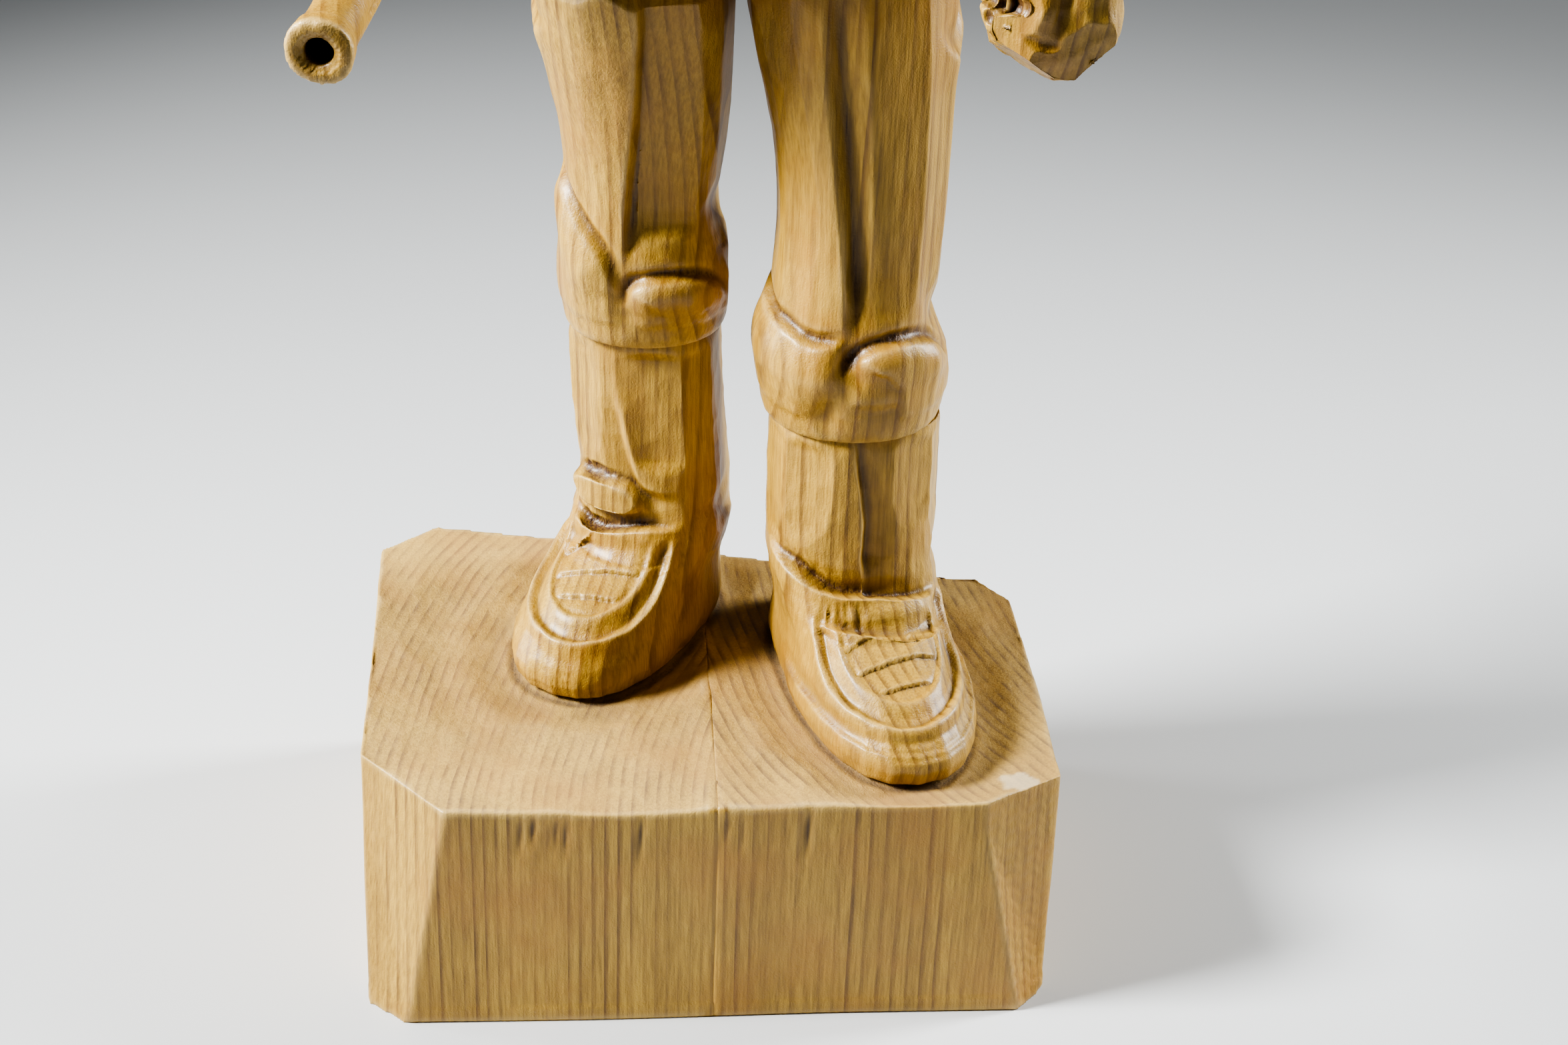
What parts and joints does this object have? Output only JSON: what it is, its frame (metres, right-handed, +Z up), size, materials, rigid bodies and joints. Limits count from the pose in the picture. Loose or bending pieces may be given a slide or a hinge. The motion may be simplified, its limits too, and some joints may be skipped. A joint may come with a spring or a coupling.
{
  "type": "carved wooden figurine",
  "caption": "Carved softwood statuette of a standing man in bloused trousers and apron-toed boots, holding a long gun at his hip, on a chamfered two-board base.",
  "frame": {"origin": "on the underside of the base, in the middle of its width and 33 mm behind its front face", "axes": "+Z up from the underside to the head, -Y the way the man faces, +X towards the man's left hand"},
  "size_m": [0.1005, 0.1119, 0.253],
  "materials": {
    "base_pine": "satin varnish over knife-cut softwood",
    "boot_pine": "satin varnish over knife-cut softwood",
    "trouser_pine": "satin varnish over knife-cut softwood",
    "jacket_pine": "satin varnish over knife-cut softwood",
    "sleeve_pine": "satin varnish over knife-cut softwood",
    "hand_pine": "satin varnish over knife-cut softwood",
    "gun_pine": "satin varnish over knife-cut softwood",
    "head_pine": "satin varnish over knife-cut softwood",
    "dowel_birch": "bare, glued in"
  },
  "bodies": {
    "root": {"base_right_board": "base_pine", "base_left_board": "base_pine", "right_boot": "boot_pine", "left_boot": "boot_pine", "right_trouser_leg": "trouser_pine", "left_trouser_leg": "trouser_pine", "jacket_right_half": "jacket_pine", "jacket_left_half": "jacket_pine", "right_sleeve": "sleeve_pine", "left_sleeve": "sleeve_pine", "right_fist": "hand_pine", "left_fist": "hand_pine", "long_gun": "gun_pine", "head": "head_pine", "right_foot_dowel": "dowel_birch", "left_foot_dowel": "dowel_birch", "right_knee_dowel": "dowel_birch", "left_knee_dowel": "dowel_birch", "right_hip_dowel": "dowel_birch", "left_hip_dowel": "dowel_birch", "neck_dowel": "dowel_birch", "right_shoulder_dowel": "dowel_birch", "left_shoulder_dowel": "dowel_birch", "right_wrist_dowel": "dowel_birch", "left_wrist_dowel": "dowel_birch"}
  },
  "joints": []
}
